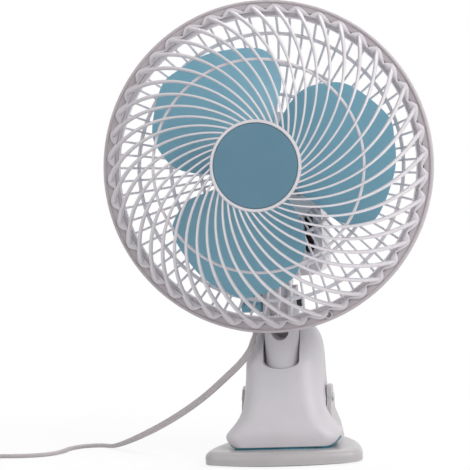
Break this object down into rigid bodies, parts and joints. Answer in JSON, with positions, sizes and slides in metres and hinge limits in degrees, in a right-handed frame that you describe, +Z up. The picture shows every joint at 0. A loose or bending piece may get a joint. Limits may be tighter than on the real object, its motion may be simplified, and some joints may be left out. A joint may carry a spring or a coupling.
{
  "type": "clip fan",
  "caption": "Small caged desk fan on a tilting and swivelling neck that stands on a spring clip with a broad flat foot.",
  "frame": {"origin": "centre of the foot's underside, straight below the swivel axis", "axes": "+X to the fan's right as seen from the front, -Y the way the air leaves, +Z up"},
  "size_m": [0.4375, 0.1507, 0.303],
  "materials": {
    "white_plastic": "satin",
    "blue_plastic": "satin",
    "dark_plastic": "satin",
    "teal_rubber": "matte",
    "grey_rubber": "matte",
    "steel": "plain",
    "lamination": "plain",
    "coil_tape": "matte",
    "bronze": "plain",
    "cord_vinyl": "satin",
    "tie_black": "matte"
  },
  "bodies": {
    "lower_jaw": {"lower_jaw": "white_plastic", "base_plate": "steel", "base_screws": "steel", "foot_pad": "grey_rubber", "lower_pad": "teal_rubber", "hinge_pin": "steel", "pin_clip": "steel", "clip_spring": "steel", "power_cord": "cord_vinyl", "cord_coil": "cord_vinyl", "cord_tie": "tie_black", "plug_lead": "cord_vinyl", "plug_body": "cord_vinyl", "plug_pins": "steel"},
    "upper_jaw": {"upper_jaw": "white_plastic", "upper_jaw_cover": "white_plastic", "cover_screws": "steel", "upper_pad": "teal_rubber", "cord_relief": "cord_vinyl"},
    "neck": {"neck_yoke": "white_plastic", "lock_nut": "steel", "swivel_washer": "steel", "swivel_screw": "steel"},
    "tilt_knob": {"tilt_knob": "blue_plastic", "tilt_bolt": "steel"},
    "head": {"front_grille": "white_plastic", "grille_badge": "blue_plastic", "grille_screw": "steel", "rear_grille": "white_plastic", "grille_mount_screws": "steel", "motor_front_cover": "white_plastic", "motor_housing": "white_plastic", "housing_screw": "steel", "bracket_screws": "steel", "tilt_bracket": "white_plastic", "stator_core": "lamination", "motor_coil": "coil_tape", "front_bracket": "steel", "rear_bracket": "steel", "front_bush": "bronze", "rear_bush": "bronze", "motor_screws": "steel", "switch_body": "dark_plastic"},
    "blade": {"fan_blade": "blue_plastic", "blade_nut": "dark_plastic", "motor_shaft": "steel", "rotor": "lamination"},
    "switch_rocker": {"switch_rocker": "dark_plastic"}
  },
  "joints": [
    {"name": "jaw_hinge", "type": "hinge", "parent": "lower_jaw", "child": "upper_jaw", "pos_m": [0, 0.014, 0.039], "axis": [-1, 0, 0], "range_deg": [0, 28], "stiffness_Nm_per_rad": 2, "springref_deg": -34.38, "deforming": ["clip_spring"]},
    {"name": "neck_swivel", "type": "hinge", "parent": "upper_jaw", "child": "neck", "pos_m": [0, 0, 0.07], "axis": [0, 0, 1], "range_deg": [-45, 45]},
    {"name": "head_tilt", "type": "hinge", "parent": "neck", "child": "head", "pos_m": [0, 0, 0.105], "axis": [-1, 0, 0], "range_deg": [-15, 30]},
    {"name": "knob_turn", "type": "hinge", "parent": "neck", "child": "tilt_knob", "pos_m": [-0.02, 0, 0.105], "axis": [-1, 0, 0], "range_deg": [0, 270]},
    {"name": "blade_spin", "type": "hinge", "parent": "head", "child": "blade", "pos_m": [0, 0, 0.195], "axis": [0, 1, 0], "continuous": true},
    {"name": "switch_rock", "type": "hinge", "parent": "head", "child": "switch_rocker", "pos_m": [0, 0.053, 0.163], "axis": [1, 0, 0], "range_deg": [-12, 12]}
  ]
}
